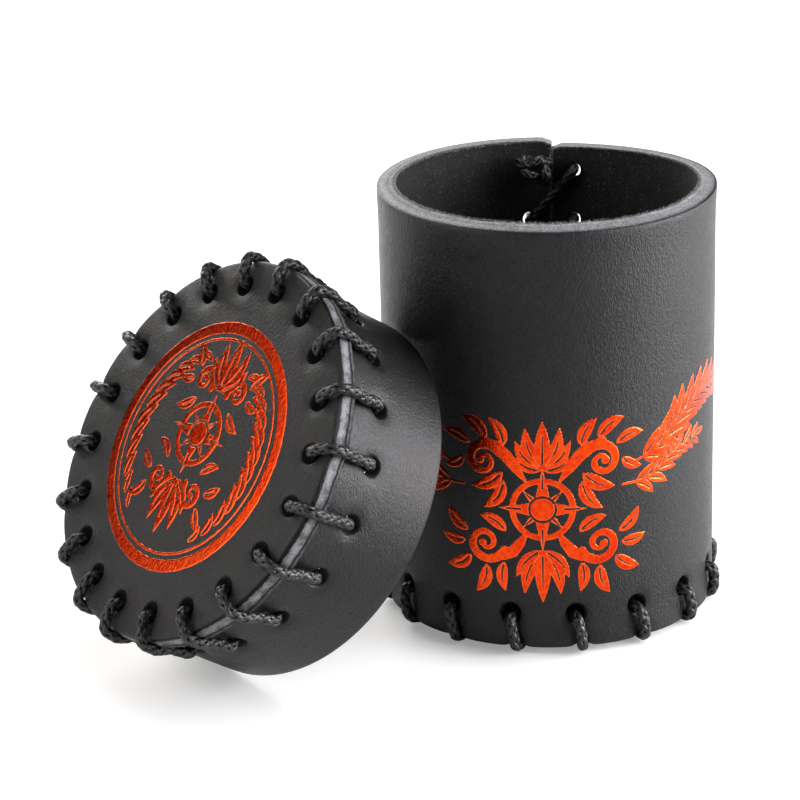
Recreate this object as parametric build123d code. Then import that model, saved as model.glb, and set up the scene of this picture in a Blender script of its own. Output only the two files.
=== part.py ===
from build123d import *
import os
from math import cos, pi, radians, sin, tan

# Dice cup of thick black leather with a slip-over lid.
# The cup is a strip rolled into a tube and laced shut down its back, with a round base
# set inside its foot. The lid is a round top laced onto a rolled skirt.
# Frame: +Z along the cup's axis, origin at the centre of the base's underside,
# seam of the cup at +Y. The lid lies open, leaning against the cup. Millimetres.

# --- leather ---
CUP_DIAMETER = 85.0
CUP_HEIGHT = 110.0
LEATHER = 4.5
SKIRT_LEATHER = 4.2
SEAM_GAP = 0.4
RIM_STEP = 1.5
OUTER_ROUNDING = 1.0
INNER_ROUNDING = 0.5
HOLE_DIAMETER = 4.8
BASE_CLEARANCE = 0.1

# --- waxed cord ---
CORD_DIAMETER = 3.0
CORD_BED = 0.35
CORD_PLAY = 0.06
CORD_BEND = 2.3

# --- whip stitch round the foot of the cup ---
FOOT_STITCHES = 16
FOOT_HOLE_HEIGHT = 9.0
BASE_HOLE_INSET = 5.5
FOOT_SLANT = 4.5

# --- lacing down the back seam of the cup ---
SEAM_ROWS = 6
SEAM_ROW_PITCH = 15.0
SEAM_FIRST_ROW = 10.0
SEAM_HALF_WIDTH = 6.5

# --- lid ---
LID_DIAMETER = 97.0
SKIRT_DIAMETER = 94.8
LID_DEPTH = 36.7
LID_STITCHES = 20
LID_HOLE_INSET = 6.6
SKIRT_HOLE_DEPTH = 15.3
LID_SLANT = 2.6
LID_FIRST_HOLE = 15.2
LID_EDGE_ROUNDING = 1.2
LID_SEAM_ROWS = 2
LID_SEAM_ROW_PITCH = 8.0
LID_SEAM_FIRST_ROW = 23.0
LID_SEAM_HALF_WIDTH = 6.0
LID_SEAM_ANGLE = 188.8

# --- knots in the cord ---
KNOT_RADIUS = 2.3
KNOT_TAIL = 7.0
KNOT_STANDOFF = 3.0
CORD_END_GAP = 0.5

# --- the lid at rest, leaning against the cup ---
LID_AXIS_BEARING = -140.1
LID_AXIS_TILT = 33.4
LID_BEARING = -147.2
LID_REACH = 99.35

CUP_RADIUS = CUP_DIAMETER / 2
BORE_RADIUS = CUP_RADIUS - LEATHER
BASE_RADIUS = BORE_RADIUS - BASE_CLEARANCE
LID_RADIUS = LID_DIAMETER / 2
SKIRT_RADIUS = SKIRT_DIAMETER / 2
SKIRT_BORE = SKIRT_RADIUS - SKIRT_LEATHER
CORD_RADIUS = CORD_DIAMETER / 2
CORD_LIFT = CORD_RADIUS - CORD_BED
FLOOR = -CORD_RADIUS
SEAM_ANGLE = 90.0


def at(radius, angle, height):
    """The point at a radius, an angle in degrees and a height."""
    return Vector(radius * cos(radians(angle)), radius * sin(radians(angle)), height)


# --- cord ---
def rounded_route(corners, bend):
    """A route of straight runs through the corners, each corner rounded by an arc."""
    edges = []
    start = corners[0]
    for before, corner, after in zip(corners, corners[1:], corners[2:]):
        arriving = (corner - before).normalized()
        leaving = (after - corner).normalized()
        turn = radians(arriving.get_angle(leaving))
        reach = min(bend * tan(turn / 2), (corner - before).length * 0.48, (after - corner).length * 0.48)
        radius = reach / tan(turn / 2)
        arc_start = corner - arriving * reach
        arc_end = corner + leaving * reach
        inward = (leaving - arriving).normalized()
        arc_middle = corner + inward * (radius / cos(turn / 2) - radius)
        edges.append(Line(start, arc_start))
        edges.append(ThreePointArc(arc_start, arc_middle, arc_end))
        start = arc_end
    edges.append(Line(start, corners[-1]))
    return Wire(edges)


def cord_solid(route, radius):
    """A round cord of the given radius along a route."""
    section = Plane(origin=route @ 0, z_dir=route % 0) * Circle(radius)
    return sweep(section, path=route)


def knot(centre, towards, tail):
    """A tight overhand knot: two crossed turns of cord round a core, and a short tail."""
    facing = Plane(origin=centre, z_dir=towards)
    leaning = Plane(origin=centre, z_dir=towards.normalized() + facing.x_dir * 1.4)
    solid = facing * Sphere(KNOT_RADIUS * 1.25)
    solid += facing * Torus(KNOT_RADIUS * 1.05, CORD_RADIUS * 0.92)
    solid += leaning * Pos(0.2, 0.15, 0.1) * Torus(KNOT_RADIUS * 1.1, CORD_RADIUS * 0.85)
    run = Plane(origin=centre, z_dir=tail)
    solid += run * Cylinder(CORD_RADIUS * 0.9, KNOT_TAIL, align=(Align.CENTER, Align.CENTER, Align.MIN))
    return solid


def knotted_loop(corners, inward, lift):
    """Close a lace into a loop: its two ends run into one knot, set in from the leather."""
    middle = (corners[0] + corners[-1]) * 0.5
    tie = middle + Vector(-middle.X, -middle.Y, 0).normalized() * inward + Vector(0, 0, lift)
    start = tie + (corners[0] - tie).normalized() * CORD_END_GAP
    end = tie + (corners[-1] - tie).normalized() * CORD_END_GAP
    return [start] + corners + [end], tie


# --- leather ---
def ring(outer, inner, bottom, top, rounding):
    """A rolled strip: a short tube with rounded rims outside and softened rims inside."""
    tube = Cylinder(outer, top - bottom, align=(Align.CENTER, Align.CENTER, Align.MIN))
    tube -= Cylinder(inner, top - bottom, align=(Align.CENTER, Align.CENTER, Align.MIN))
    rims = tube.edges().filter_by(GeomType.CIRCLE)
    tube = fillet(rims.filter_by(lambda rim: rim.radius > outer - 0.1), rounding)
    rims = tube.edges().filter_by(GeomType.CIRCLE)
    tube = fillet(rims.filter_by(lambda rim: rim.radius < inner + 0.1), INNER_ROUNDING)
    return Pos(0, 0, bottom) * tube


def disc(radius, bottom, top, rounding):
    """A round of leather with its upper edge rounded."""
    body = Cylinder(radius, top - bottom, align=(Align.CENTER, Align.CENTER, Align.MIN))
    body = fillet(body.edges().filter_by(GeomType.CIRCLE).sort_by(Axis.Z)[-1], rounding)
    body = fillet(body.edges().filter_by(GeomType.CIRCLE).sort_by(Axis.Z)[0], INNER_ROUNDING)
    return Pos(0, 0, bottom) * body


def side_punch(radius, angle, height):
    """A punch through a rolled wall, square to it."""
    facing = Plane(origin=at(radius, angle, height), z_dir=at(1, angle, 0))
    return facing * Cylinder(HOLE_DIAMETER / 2, 4 * LEATHER)


def top_punch(radius, angle, height):
    """A punch straight down through a disc."""
    return Location(at(radius, angle, height)) * Cylinder(HOLE_DIAMETER / 2, 4 * LEATHER)


def seam_slot(radius, angle, bottom, top):
    """The narrow gap where the two ends of a rolled strip meet."""
    slot = Box(3 * LEATHER, SEAM_GAP, top - bottom + 2, align=(Align.CENTER, Align.CENTER, Align.MIN))
    return Rot(0, 0, angle) * Pos(radius, 0, bottom - 1) * slot


def rim_wedge():
    """The sliver missing from the rim on one side of the seam, where the strip was cut askew."""
    reach = CUP_RADIUS + 1
    drop = RIM_STEP * reach / CUP_RADIUS
    outline = Polyline((0, CUP_HEIGHT), (reach, CUP_HEIGHT - drop), (reach, CUP_HEIGHT + 1),
                       (0, CUP_HEIGHT + 1), close=True)
    return extrude(Plane.YZ * make_face(outline), reach)


# --- the two sides of a laced seam ---
def seam_columns(half_width, radius, angle):
    """The angles of the two columns of holes beside a seam."""
    offset = half_width / radius * 180 / pi
    return angle + offset, angle - offset


def seam_heights(first, pitch, rows):
    """The heights of the rows of holes, from the top down."""
    return [first - pitch * row for row in range(rows)]


def seam_route(outer, inner, columns, heights):
    """Lacing that crosses level outside the seam and slants down inside it."""
    left, right = columns
    outside = (outer + CORD_LIFT) / cos(radians((left - right) / 2))
    inside = inner - CORD_LIFT
    corners = [at(inside - KNOT_STANDOFF, left * 0.7 + right * 0.3, heights[0] + 1)]
    for height in heights:
        corners += [at(inside, left, height), at(outside, left, height)]
        corners += [at(outside, right, height), at(inside, right, height)]
    corners.append(at(inside - KNOT_STANDOFF, left * 0.3 + right * 0.7, heights[-1] - 1))
    return corners


def seam_knots(corners, angle):
    """The knots that stop the two ends of a seam's lace, their tails lying along the leather."""
    first = knot(corners[0], corners[1] - corners[0], at(1, angle + 90, 0.4))
    last = knot(corners[-1], corners[-1] - corners[-2], at(1, angle - 90, -0.4))
    return [first, last]


# --- cup ---
def foot_angles():
    """The angles of the punched holes round the cup's foot, evenly placed about the seam."""
    pitch = 360 / FOOT_STITCHES
    return [SEAM_ANGLE + pitch * (number + 0.5) for number in range(FOOT_STITCHES)]


def foot_route():
    """Out of each hole in the wall, down round the foot, up through the base, on to the next."""
    pitch = 360 / FOOT_STITCHES
    outside = CUP_RADIUS + CORD_LIFT
    inside = BORE_RADIUS - CORD_LIFT
    base_hole = BORE_RADIUS - BASE_HOLE_INSET
    above_base = LEATHER + CORD_LIFT
    corners = []
    for angle in foot_angles():
        slanted = angle + FOOT_SLANT
        corners += [at(inside, angle, FOOT_HOLE_HEIGHT), at(outside, angle, FOOT_HOLE_HEIGHT)]
        corners += [at(outside, angle + FOOT_SLANT * 0.5, 0), at(base_hole, slanted, 0)]
        corners.append(at(base_hole, slanted, above_base))
    return knotted_loop(corners, 0.8, 1.9)


def cup():
    """The cup's leather, its two laces and their knots."""
    heights = seam_heights(CUP_HEIGHT - SEAM_FIRST_ROW, SEAM_ROW_PITCH, SEAM_ROWS)
    columns = seam_columns(SEAM_HALF_WIDTH, CUP_RADIUS, SEAM_ANGLE)
    seam_corners = seam_route(CUP_RADIUS, BORE_RADIUS, columns, heights)
    foot_corners, tie = foot_route()
    foot = rounded_route(foot_corners, CORD_BEND)
    seam = rounded_route(seam_corners, CORD_BEND)

    wall = ring(CUP_RADIUS, BORE_RADIUS, 0, CUP_HEIGHT, OUTER_ROUNDING)
    wall -= rim_wedge()
    wall -= seam_slot(CUP_RADIUS, SEAM_ANGLE, 0, CUP_HEIGHT)
    wall -= [side_punch(CUP_RADIUS, angle, FOOT_HOLE_HEIGHT) for angle in foot_angles()]
    wall -= [side_punch(CUP_RADIUS, angle, height) for angle in columns for height in heights]

    base = disc(BASE_RADIUS, 0, LEATHER, INNER_ROUNDING)
    base_hole = BORE_RADIUS - BASE_HOLE_INSET
    base -= [top_punch(base_hole, angle + FOOT_SLANT, 0) for angle in foot_angles()]

    foot_bed = cord_solid(foot, CORD_RADIUS + CORD_PLAY)
    seam_bed = cord_solid(seam, CORD_RADIUS + CORD_PLAY)
    return {
        "cup_wall": wall - foot_bed - seam_bed,
        "cup_base": base - foot_bed,
        "cup_base_lace": cord_solid(foot, CORD_RADIUS),
        "cup_base_knot": knot(tie, foot_corners[1] - tie, Vector(-tie.X, -tie.Y, 12)),
        "cup_seam_lace": cord_solid(seam, CORD_RADIUS),
        "cup_seam_knots": seam_knots(seam_corners, SEAM_ANGLE),
    }


# --- lid, made face up about its own axis with the face at height 0 ---
def lid_angles():
    """The angles of the punched holes in the lid's top."""
    pitch = 360 / LID_STITCHES
    return [LID_FIRST_HOLE + pitch * number for number in range(LID_STITCHES)]


def lid_route():
    """Up through each hole in the top, over the edge, in through the skirt, on to the next."""
    top_hole = LID_RADIUS - LID_HOLE_INSET
    over_edge = LID_RADIUS + CORD_LIFT
    over_skirt = SKIRT_RADIUS + CORD_LIFT
    inside = SKIRT_BORE - CORD_LIFT
    corners = []
    for angle in lid_angles():
        slanted = angle + LID_SLANT
        corners += [at(top_hole, angle, -LEATHER - CORD_LIFT), at(top_hole, angle, CORD_LIFT)]
        corners.append(at(over_edge, angle + LID_SLANT * 0.3, CORD_LIFT))
        corners.append(at(over_edge, angle + LID_SLANT * 0.5, -LEATHER))
        corners += [at(over_skirt, slanted, -SKIRT_HOLE_DEPTH), at(inside, slanted, -SKIRT_HOLE_DEPTH)]
    return knotted_loop(corners, 2.4, 0)


def lid():
    """The lid's leather, its two laces and their knots, about the lid's own axis."""
    heights = seam_heights(-LID_SEAM_FIRST_ROW, LID_SEAM_ROW_PITCH, LID_SEAM_ROWS)
    columns = seam_columns(LID_SEAM_HALF_WIDTH, SKIRT_RADIUS, LID_SEAM_ANGLE)
    seam_corners = seam_route(SKIRT_RADIUS, SKIRT_BORE, columns, heights)
    edge_corners, tie = lid_route()
    edge = rounded_route(edge_corners, CORD_BEND)
    seam = rounded_route(seam_corners, CORD_BEND)

    edge_bed = cord_solid(edge, CORD_RADIUS + CORD_PLAY)
    seam_bed = cord_solid(seam, CORD_RADIUS + CORD_PLAY)

    top = disc(LID_RADIUS, -LEATHER, 0, LID_EDGE_ROUNDING) - edge_bed
    top_hole = LID_RADIUS - LID_HOLE_INSET
    top -= [top_punch(top_hole, angle, 0) for angle in lid_angles()]

    skirt_top = -LEATHER - BASE_CLEARANCE
    skirt = ring(SKIRT_RADIUS, SKIRT_BORE, -LID_DEPTH, skirt_top, OUTER_ROUNDING)
    skirt -= seam_slot(SKIRT_RADIUS, LID_SEAM_ANGLE, -LID_DEPTH, skirt_top)
    skirt -= [side_punch(SKIRT_RADIUS, angle + LID_SLANT, -SKIRT_HOLE_DEPTH) for angle in lid_angles()]
    skirt -= [side_punch(SKIRT_RADIUS, angle, height) for angle in columns for height in heights]

    return {
        "lid_top": top,
        "lid_skirt": skirt - edge_bed - seam_bed,
        "lid_lace": cord_solid(edge, CORD_RADIUS),
        "lid_lace_knot": knot(tie, edge_corners[1] - tie, Vector(-tie.X, -tie.Y, -60)),
        "lid_seam_lace": cord_solid(seam, CORD_RADIUS),
        "lid_seam_knots": seam_knots(seam_corners, LID_SEAM_ANGLE),
    }


def lid_at_rest():
    """The lid's plane at rest: its open rim stands on the floor and leans on the cup's wall."""
    tilt = radians(LID_AXIS_TILT)
    axis = at(cos(tilt), LID_AXIS_BEARING, sin(tilt))
    rim_depth = LID_DEPTH - OUTER_ROUNDING
    rim_radius = SKIRT_RADIUS - OUTER_ROUNDING
    height = FLOOR + OUTER_ROUNDING + rim_depth * sin(tilt) + rim_radius * cos(tilt)
    return Plane(origin=at(LID_REACH, LID_BEARING, height), x_dir=at(1, LID_AXIS_BEARING + 90, 0), z_dir=axis)


def main():
    """Write each piece to its own file."""
    os.makedirs("parts", exist_ok=True)
    pieces = cup()
    resting = lid_at_rest().location
    for name, piece in lid().items():
        solids = piece if isinstance(piece, list) else [piece]
        placed = [resting * solid for solid in solids]
        pieces[name] = placed if isinstance(piece, list) else placed[0]
    for name, piece in pieces.items():
        shape = Compound(piece) if isinstance(piece, list) else piece
        export_step(shape, f"parts/{name}.step")


main()
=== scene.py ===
import random
from math import cos, pi, radians, sin, tau

import bmesh
import bpy
import numpy as np
from mathutils import Matrix, Vector


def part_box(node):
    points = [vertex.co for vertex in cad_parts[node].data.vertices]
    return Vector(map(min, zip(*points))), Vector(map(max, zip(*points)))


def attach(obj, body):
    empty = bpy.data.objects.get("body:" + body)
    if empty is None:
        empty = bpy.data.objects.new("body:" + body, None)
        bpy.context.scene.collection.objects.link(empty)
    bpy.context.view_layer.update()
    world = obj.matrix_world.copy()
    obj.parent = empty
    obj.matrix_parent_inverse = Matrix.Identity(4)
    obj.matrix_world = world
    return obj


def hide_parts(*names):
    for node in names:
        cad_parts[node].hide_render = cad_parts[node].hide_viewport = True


# Dice cup of thick black leather with a slip-over lid: leather, lacing, foil and studio.
# Lengths are millimetres until a mesh is made, which is in metres, as the frame is.
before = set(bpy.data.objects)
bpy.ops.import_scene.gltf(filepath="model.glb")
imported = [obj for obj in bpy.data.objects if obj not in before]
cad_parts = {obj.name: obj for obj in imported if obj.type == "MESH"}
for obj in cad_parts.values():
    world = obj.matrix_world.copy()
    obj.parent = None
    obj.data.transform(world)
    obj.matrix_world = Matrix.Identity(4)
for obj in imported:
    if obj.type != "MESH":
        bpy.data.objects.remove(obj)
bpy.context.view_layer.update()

METRES = 0.001
random.seed(11)


def box_in_mm(node):
    """The lowest and highest corner of a CAD node, in millimetres."""
    low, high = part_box(node)
    return low / METRES, high / METRES


# --- sizes: the wall's and the floor's come from the frame, most others drive the CAD model too ---
WALL_LOW, WALL_HIGH = box_in_mm("cup_wall")
CUP_RADIUS = (WALL_HIGH.x - WALL_LOW.x) / 2
CUP_HEIGHT = WALL_HIGH.z
FLOOR = box_in_mm("cup_base_lace")[0].z
LEATHER = 4.5
SEAM_GAP = 0.06
OUTER_ROUNDING = 1.0
RIM_STEP = 1.5
RIM_ZONE = 5.5
HOLE_RADIUS = 2.55
BORE_RADIUS = CUP_RADIUS - LEATHER
BASE_RADIUS = BORE_RADIUS - 0.1
CORD_LIFT = 1.15

FOOT_STITCHES = 16
FOOT_HOLE_HEIGHT = 9.0
FOOT_SLANT = 4.5
BASE_HOLE_RING = BORE_RADIUS - 5.5
SEAM_FIRST_ROW = 10.0
SEAM_ROW_PITCH = 15.0
SEAM_SHIFTS = (1.5, 2.8, 2.0, 1.3, 0.8, 0.4)
SEAM_ROWS = [CUP_HEIGHT - SEAM_FIRST_ROW - SEAM_ROW_PITCH * row + shift
             for row, shift in enumerate(SEAM_SHIFTS)]
SEAM_HALF_WIDTH = 6.5
SEAM_ANGLE = 90.0

LID_RADIUS = 48.5
LID_LEATHER = 4.9
LID_DEPTH = 36.7
LID_STITCHES = 20
LID_HOLE_RING = LID_RADIUS - 6.6
LID_FIRST_HOLE = 15.2
LID_SLANT = 2.6
LID_SPREAD_ANGLE = 218.0
SKIRT_LEATHER = 4.2
SKIRT_RADIUS = 47.4
SKIRT_BORE = SKIRT_RADIUS - SKIRT_LEATHER
SKIRT_TOP = -LID_LEATHER - 0.5
SKIRT_HOLES_AT = -15.3
LID_SEAM_ROWS = [-23.0, -31.0]
LID_SEAM_HALF_WIDTH = 6.0
LID_SEAM_ANGLE = 188.8

# How the lid rests: the way its axis points and how steeply, and where the middle of its face is.
LID_AXIS_BEARING = -140.1
LID_AXIS_TILT = 33.4
LID_BEARING = -147.2
LID_REACH = 99.35


def polar(radius, angle, height):
    """The point at a radius, an angle in degrees and a height."""
    return np.array((radius * cos(radians(angle)), radius * sin(radians(angle)), height))


def lid_place():
    """Turns the lid's own frame, face up at height 0, into the place where the lid rests."""
    tilt = radians(LID_AXIS_TILT)
    axis = Vector(polar(cos(tilt), LID_AXIS_BEARING, sin(tilt)))
    side = Vector(polar(1, LID_AXIS_BEARING + 90, 0))
    up = axis.cross(side)
    rim_depth, rim_radius = LID_DEPTH - OUTER_ROUNDING, SKIRT_RADIUS - OUTER_ROUNDING
    height = FLOOR + OUTER_ROUNDING + rim_depth * sin(tilt) + rim_radius * cos(tilt)
    turn = Matrix((side, up, axis)).transposed().to_4x4()
    return Matrix.Translation(polar(LID_REACH, LID_BEARING, height)) @ turn


HERE = Matrix.Identity(4)
LID = lid_place()


# --- meshes ---
def make_object(name, points, faces, materials, place, values=None, slots=None):
    """A smooth mesh object from points in millimetres; faces have the first material or their slot's."""
    mesh = bpy.data.meshes.new(name)
    mesh.from_pydata([tuple(point) for point in np.asarray(points) * METRES], [], faces)
    for material in materials:
        mesh.materials.append(material)
    if slots:
        mesh.polygons.foreach_set("material_index", slots)
    mesh.polygons.foreach_set("use_smooth", [True] * len(mesh.polygons))
    for key, numbers in (values or {}).items():
        attribute = mesh.attributes.new(key, "FLOAT", "POINT")
        attribute.data.foreach_set("value", np.asarray(numbers, np.float32))
    shift = place.copy()
    shift.translation *= METRES
    mesh.transform(shift)
    outward = bmesh.new()
    outward.from_mesh(mesh)
    bmesh.ops.recalc_face_normals(outward, faces=outward.faces)
    outward.to_mesh(mesh)
    outward.free()
    piece = bpy.data.objects.new(name, mesh)
    bpy.context.scene.collection.objects.link(piece)
    return piece


def finish_piece(piece, place, slot, *nodes):
    """The piece rides on the body built at its place and stands for its CAD nodes; its slot is not used."""
    body = "lid" if place is LID else "cup"
    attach(piece, body)
    if nodes:
        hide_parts(*nodes)


def round_axis(radius, angle, height):
    """Places round the axis, from their radii, angles in radians and heights."""
    return np.column_stack((radius * np.cos(angle), radius * np.sin(angle), height))


def bump_at(distance, width):
    """A smooth hump, 1 at no distance and gone a few widths away."""
    return np.exp(-(distance / width) ** 2)


def ease(value):
    """0 below 0, 1 above 1, smooth between."""
    value = np.clip(value, 0, 1)
    return value * value * (3 - 2 * value)


def to_nearest(x, first, pitch):
    """The signed distance from x to the nearest of evenly pitched places."""
    return (x - first + pitch / 2) % pitch - pitch / 2


def unit(vectors):
    """A vector, or each row of several, made one long."""
    return vectors / np.linalg.norm(vectors, axis=-1, keepdims=True)


# --- punched leather: outer face, cut edges and flesh side in one closed sheet ---
GRAIN, CUT, FLESH = 0, 1, 2
EDGE_INSET = 1.3
PUNCH_INSET = 0.6
RINGS = (0.35, 0.65, 0.88, 1.0)
WALL_CLOSING = 0.5
BASE_CLOSING = 1.0
LID_CLOSING = 0.8
STRIP_CELL = 1.15
DISC_CELL = 1.1
WALL_CELL = 1.2
SKIRT_CELL = 1.3
INNER_RINGS = [3.0, 12.0, 24.0]


def spaced(stops, cell):
    """Grid lines through the stops, evenly divided between them, about a cell apart."""
    lines = [stops[0]]
    for low, high in zip(stops, stops[1:]):
        count = max(1, round((high - low) / cell))
        lines += [low + (high - low) * (step + 1) / count for step in range(count)]
    return np.array(lines)


def strip_holes(length, first, count, height, half_width, rows):
    """A rolled strip's holes: a row all round it, and one down each side of its seam."""
    holes = [(first + length / count * number, height) for number in range(count)]
    return holes + [(across, row) for across in (half_width, length - half_width) for row in rows]


def strip_lines(length, holes):
    """Grid lines round a rolled strip, from one edge of its seam to the other."""
    edge = SEAM_GAP / 2 + EDGE_INSET
    return spaced(sorted({edge, length - edge} | {across for across, _ in holes}), STRIP_CELL)


def disc_lines(first, pitch, count, ring, radius):
    """Grid lines of a round sheet: round its ring of holes, and outwards from its hub."""
    start = first - pitch / 2
    around = spaced([start + pitch * half / 2 for half in range(2 * count + 1)], DISC_CELL)[:-1]
    return around, spaced(INNER_RINGS + [ring, radius - EDGE_INSET], STRIP_CELL)


def square_edge(thick):
    """How a raw edge, cut square, goes from the face to the flesh side: reach and depth."""
    upright = [(EDGE_INSET, depth) for depth in (0.55, 1.4, 2.3, 3.2, thick - 0.35)]
    return [(0.85, 0.02), (1.12, 0.10), (1.26, 0.28)] + upright + [(1.2, thick - 0.06), (0.85, thick)]


def punch_profile(thick, closing):
    """How a punched hole's rim rolls in and closes round the cord on the flesh side."""
    neck = PUNCH_INSET + closing
    return [(0.34, 0.1), (0.52, 0.34), (PUNCH_INSET, 0.8), (PUNCH_INSET + closing * 0.1, thick / 2 - 0.5),
            (PUNCH_INSET + closing * 0.55, thick / 2 + 0.4), (neck, thick - 0.9), (neck, thick - 0.3),
            (neck - 0.3, thick - 0.02)]


def ragged(x, y):
    """A rough value between -1 and 1, for torn fibres along a cut."""
    waves = np.sin(5.31 * x + 1.7 * y) + np.sin(3.17 * x - 4.1 * y + 1.3)
    return (waves + np.sin(8.9 * x + 2.9 * y + 0.4)) / 3


def lines_round(lines, middle):
    """The grid lines that bound the cells kept for a hole, before and after its middle."""
    reach = HOLE_RADIUS + PUNCH_INSET + 0.3
    return np.searchsorted(lines, middle - reach, "right") - 1, np.searchsorted(lines, middle + reach)


def perimeter(left, right, low, high):
    """Grid places round a block, anticlockwise."""
    loop = [(i, low) for i in range(left, right)]
    loop += [(right, j) for j in range(low, high)]
    loop += [(i, high) for i in range(right, left, -1)]
    return loop + [(left, j) for j in range(high, low, -1)]


def strip_between(first, second):
    """Quads between two loops of the same length."""
    following = np.roll(first, -1), np.roll(second, -1)
    return [tuple(int(n) for n in quad) for quad in zip(first, following[0], following[1], second)]


def hole_rings(flat, faces, ring, hole):
    """Adds rings that ease a block's square border into a round hole; gives the hole's loop."""
    border = np.array([flat[n] for n in ring])
    facing = np.unwrap(np.arctan2(border[:, 1] - hole[1], border[:, 0] - hole[0]))
    even = facing[0] + np.arange(len(ring)) * tau / len(ring)
    turn = facing * 0.4 + even * 0.6
    outward = np.column_stack((np.cos(turn), np.sin(turn)))
    circle = np.array(hole) + outward * (HOLE_RADIUS + PUNCH_INSET)
    for share in RINGS:
        following = list(range(len(flat), len(flat) + len(ring)))
        flat += [tuple(point) for point in border + (circle - border) * share]
        faces += strip_between(ring, following)
        ring = following
    return ring, -outward, True


def pattern(xs, ys, holes, wrap):
    """The flat pattern: points, faces, loops and a round sheet's hub.

    A loop is its points, the way each one faces off the sheet, and whether it bounds a hole.
    """
    columns = len(xs)
    blocks = [lines_round(xs, across) + lines_round(ys, along) for across, along in holes]
    number = np.full((columns, len(ys)), -1)
    skipped = np.zeros((columns, len(ys)), bool)
    buried = np.zeros((columns, len(ys)), bool)
    for left, right, low, high in blocks:
        skipped[left:right, low:high] = True
        buried[left + 1:right, low + 1:high] = True
    kept = np.argwhere(~buried)
    number[tuple(kept.T)] = range(len(kept))
    flat = [(xs[i], ys[j]) for i, j in kept]
    faces = []
    for i in range(columns if wrap else columns - 1):
        after = (i + 1) % columns
        for j in range(len(ys) - 1):
            if not skipped[i, j]:
                faces.append((number[i, j], number[after, j], number[after, j + 1], number[i, j + 1]))
    loops = [hole_rings(flat, faces, [number[place] for place in perimeter(*block)], hole)
             for hole, block in zip(holes, blocks)]
    if wrap:
        loops.append((number[:, -1], np.tile((0.0, 1.0), (columns, 1)), False))
        return flat, faces, loops, list(number[:, 0])
    last, top = columns - 1, len(ys) - 1
    places = perimeter(0, last, 0, top)
    outward = [((i == last) - (i == 0) * 1.0, (j == top) - (j == 0) * 1.0) for i, j in places]
    loops.append(([number[place] for place in places], np.array(outward), False))
    return flat, faces, loops, []


def to_border(spots, xs, ys, wrap):
    """How far flat places lie inside the sheet's cut border."""
    sides = [ys[-1] - spots[:, 1]]
    if not wrap:
        sides += [spots[:, 1] - ys[0], spots[:, 0] - xs[0], xs[-1] - spots[:, 0]]
    return EDGE_INSET + np.min(sides, axis=0)


def leather_sheet(node, xs, ys, holes, surface, thick, materials, place, closing, wrap=False):
    """A CAD node's sheet of leather: surface(x, y, depth) gives a point's place in millimetres."""
    flat, faces, loops, hub = pattern(xs, ys, holes, wrap)
    flat = np.array(flat, float)
    size = len(flat)
    points = [surface(*flat.T, np.full(size, depth)) for depth in (0.0, thick)]
    depths, worn = [np.zeros(size), np.ones(size)], [np.zeros(size), np.zeros(size)]
    borders = [to_border(flat, xs, ys, wrap)] * 2
    quads = [tuple(int(n) for n in face) for face in faces]
    slots = [GRAIN] * len(quads) + [FLESH] * len(quads)
    quads += [tuple(n + size for n in reversed(face)) for face in quads]
    total = 2 * size
    for loop, outward, is_hole in loops:
        ring = before = np.array(loop)
        worn[0][ring] = 0.35
        for out, depth in punch_profile(thick, closing) if is_hole else square_edge(thick):
            count = len(ring)
            torn = 0.0 if is_hole or depth < 0.5 else 0.05 + 0.3 * ease((depth - thick + 0.6) / 0.5)
            spot = flat[ring] + outward * (out + torn * ragged(flat[ring, :1], flat[ring, 1:] + depth))
            points.append(surface(*spot.T, np.full(count, depth)))
            depths.append(np.full(count, depth / thick))
            worn.append(np.full(count, max(0.0, 1 - abs(depth - 0.35) / 0.8)))
            borders.append(to_border(spot, xs, ys, wrap))
            row = np.arange(total, total + count)
            quads += strip_between(before, row)
            slots += [GRAIN if depth < 0.4 else FLESH if depth > thick - 0.1 or is_hole else CUT] * count
            before = row
            total += count
        quads += strip_between(before, ring + size)
        slots += [FLESH] * len(ring)
    if hub:
        quads += [tuple(int(n) + shift for n in hub) for shift in (0, size)]
        slots += [GRAIN, FLESH]
    values = {"depth": np.concatenate(depths), "worn": np.concatenate(worn),
              "border": np.concatenate(borders)}
    piece = make_object(node + "_leather", np.vstack(points), quads, materials, place, values, slots)
    finish_piece(piece, place, "black_leather", node)


def dimples(x, y, holes, deep, width):
    """How far the leather sinks round its holes."""
    sunk = np.zeros_like(x)
    for across, along in holes:
        distance = np.hypot(x - across, y - along) - HOLE_RADIUS
        sunk += deep * np.where(distance < 0, 1.0, bump_at(distance, width))
    return sunk


# --- the cup's wall: x runs round it from the seam, y up it ---
CUP_ROUND = tau * CUP_RADIUS
FOOT_PITCH = CUP_ROUND / FOOT_STITCHES
WALL_HOLES = strip_holes(CUP_ROUND, FOOT_PITCH / 2, FOOT_STITCHES, FOOT_HOLE_HEIGHT,
                         SEAM_HALF_WIDTH, SEAM_ROWS)
STITCH_WIDTH = 1.7
RIM_FIBRES = 5000
FIBRE_RADIUS = 0.075


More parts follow.
